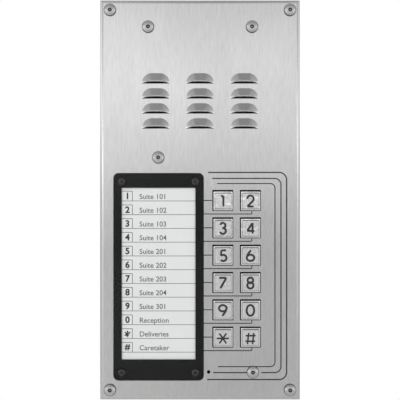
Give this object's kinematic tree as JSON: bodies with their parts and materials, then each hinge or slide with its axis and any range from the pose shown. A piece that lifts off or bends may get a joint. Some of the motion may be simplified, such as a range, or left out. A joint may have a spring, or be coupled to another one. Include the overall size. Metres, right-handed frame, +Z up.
{
  "type": "door intercom panel",
  "caption": "Louvred stainless door intercom panel with a two-column metal keypad, a directory card under a clear lens, a speaker and a microphone, on a surface back box.",
  "frame": {"origin": "centre of the back box's rear face, which lies on the wall", "axes": "+Z up, -Y out of the front of the panel, +X to the right as seen from the front"},
  "size_m": [0.127, 0.0565, 0.254],
  "materials": {
    "stainless_plate": "vertical brushed grain",
    "bright_steel": "bright turned",
    "key_metal": "satin chrome",
    "black_steel": "black oxide",
    "clear_sheet": "clear polycarbonate, gloss",
    "gloss_black": "gloss",
    "white_card": "smooth card with black rules",
    "black_foam": "closed-cell foam",
    "grey_rubber": "matt",
    "black_plastic": "moulded",
    "pale_plastic": "moulded",
    "green_plastic": "moulded",
    "blue_plastic": "moulded",
    "board_laminate": "solder mask",
    "zinc_plate": "zinc plated",
    "ferrite": "matt ferrite",
    "cone_paper": "pressed paper",
    "screen_cloth": "fine cloth",
    "grey_ribbon": "extruded",
    "red_wire": "extruded",
    "painted_casting": "grey powder coat"
  },
  "bodies": {
    "housing": {"faceplate": "stainless_plate", "directory_lens": "clear_sheet", "lens_mask": "gloss_black", "directory_card": "white_card", "lens_gasket": "black_foam", "keypad_frame": "black_plastic", "keypad_mat": "grey_rubber", "keypad_board": "board_laminate", "microphone_capsule": "zinc_plate", "microphone_boot": "grey_rubber", "louvre_screen": "screen_cloth", "speaker_gasket": "black_foam", "speaker_basket": "zinc_plate", "speaker_magnet": "ferrite", "main_board": "board_laminate", "terminal_block": "green_plastic", "dip_switch": "blue_plastic", "volume_trimmer": "blue_plastic", "microphone_trimmer": "blue_plastic", "line_relay": "pale_plastic", "line_transformer": "zinc_plate", "ribbon_cable": "grey_ribbon", "speaker_wire": "red_wire", "microphone_wire": "grey_ribbon", "back_box": "painted_casting", "box_gasket": "black_foam", "cable_grommet": "grey_rubber", "corner_screw_1": "bright_steel", "chassis_screw_1": "bright_steel", "lens_screw_1": "black_steel", "standoff_1": "zinc_plate", "corner_screw_2": "bright_steel", "chassis_screw_2": "bright_steel", "lens_screw_2": "black_steel", "standoff_2": "zinc_plate", "corner_screw_3": "bright_steel", "chassis_screw_3": "bright_steel", "lens_screw_3": "black_steel", "standoff_3": "zinc_plate", "corner_screw_4": "bright_steel", "chassis_screw_4": "bright_steel", "lens_screw_4": "black_steel", "standoff_4": "zinc_plate"},
    "speaker_cone": {"speaker_cone": "cone_paper"},
    "dip_lever_1": {"dip_lever_1": "pale_plastic"},
    "dip_lever_2": {"dip_lever_2": "pale_plastic"},
    "volume_rotor": {"volume_rotor": "pale_plastic"},
    "microphone_rotor": {"microphone_rotor": "pale_plastic"},
    "key_1": {"key_1": "key_metal"},
    "key_2": {"key_2": "key_metal"},
    "key_3": {"key_3": "key_metal"},
    "key_4": {"key_4": "key_metal"},
    "key_5": {"key_5": "key_metal"},
    "key_6": {"key_6": "key_metal"},
    "key_7": {"key_7": "key_metal"},
    "key_8": {"key_8": "key_metal"},
    "key_9": {"key_9": "key_metal"},
    "key_0": {"key_0": "key_metal"},
    "key_star": {"key_star": "key_metal"},
    "key_hash": {"key_hash": "key_metal"}
  },
  "joints": [
    {"name": "key_1_press", "type": "slide", "parent": "housing", "child": "key_1", "axis": [0, 1, 0], "range_m": [0, 0.0013], "stiffness_N_per_m": 900, "springref_m": -0.0004, "deforming": ["keypad_mat"]},
    {"name": "key_2_press", "type": "slide", "parent": "housing", "child": "key_2", "axis": [0, 1, 0], "range_m": [0, 0.0013], "stiffness_N_per_m": 900, "springref_m": -0.0004, "deforming": ["keypad_mat"]},
    {"name": "key_3_press", "type": "slide", "parent": "housing", "child": "key_3", "axis": [0, 1, 0], "range_m": [0, 0.0013], "stiffness_N_per_m": 900, "springref_m": -0.0004, "deforming": ["keypad_mat"]},
    {"name": "key_4_press", "type": "slide", "parent": "housing", "child": "key_4", "axis": [0, 1, 0], "range_m": [0, 0.0013], "stiffness_N_per_m": 900, "springref_m": -0.0004, "deforming": ["keypad_mat"]},
    {"name": "key_5_press", "type": "slide", "parent": "housing", "child": "key_5", "axis": [0, 1, 0], "range_m": [0, 0.0013], "stiffness_N_per_m": 900, "springref_m": -0.0004, "deforming": ["keypad_mat"]},
    {"name": "key_6_press", "type": "slide", "parent": "housing", "child": "key_6", "axis": [0, 1, 0], "range_m": [0, 0.0013], "stiffness_N_per_m": 900, "springref_m": -0.0004, "deforming": ["keypad_mat"]},
    {"name": "key_7_press", "type": "slide", "parent": "housing", "child": "key_7", "axis": [0, 1, 0], "range_m": [0, 0.0013], "stiffness_N_per_m": 900, "springref_m": -0.0004, "deforming": ["keypad_mat"]},
    {"name": "key_8_press", "type": "slide", "parent": "housing", "child": "key_8", "axis": [0, 1, 0], "range_m": [0, 0.0013], "stiffness_N_per_m": 900, "springref_m": -0.0004, "deforming": ["keypad_mat"]},
    {"name": "key_9_press", "type": "slide", "parent": "housing", "child": "key_9", "axis": [0, 1, 0], "range_m": [0, 0.0013], "stiffness_N_per_m": 900, "springref_m": -0.0004, "deforming": ["keypad_mat"]},
    {"name": "key_0_press", "type": "slide", "parent": "housing", "child": "key_0", "axis": [0, 1, 0], "range_m": [0, 0.0013], "stiffness_N_per_m": 900, "springref_m": -0.0004, "deforming": ["keypad_mat"]},
    {"name": "key_star_press", "type": "slide", "parent": "housing", "child": "key_star", "axis": [0, 1, 0], "range_m": [0, 0.0013], "stiffness_N_per_m": 900, "springref_m": -0.0004, "deforming": ["keypad_mat"]},
    {"name": "key_hash_press", "type": "slide", "parent": "housing", "child": "key_hash", "axis": [0, 1, 0], "range_m": [0, 0.0013], "stiffness_N_per_m": 900, "springref_m": -0.0004, "deforming": ["keypad_mat"]},
    {"name": "volume_turn", "type": "hinge", "parent": "housing", "child": "volume_rotor", "pos_m": [0.03, -0.0149, -0.0605], "axis": [0, 1, 0], "range_deg": [-135, 135]},
    {"name": "microphone_turn", "type": "hinge", "parent": "housing", "child": "microphone_rotor", "pos_m": [0.03, -0.0149, -0.0405], "axis": [0, 1, 0], "range_deg": [-135, 135]},
    {"name": "dip_lever_1_slide", "type": "slide", "parent": "housing", "child": "dip_lever_1", "axis": [0, 0, 1], "range_m": [0, 0.0018]},
    {"name": "dip_lever_2_slide", "type": "slide", "parent": "housing", "child": "dip_lever_2", "axis": [0, 0, 1], "range_m": [0, 0.0018]},
    {"name": "cone_travel", "type": "slide", "parent": "housing", "child": "speaker_cone", "axis": [0, 1, 0], "range_m": [-0.0005, 0.0005], "stiffness_N_per_m": 1500}
  ]
}
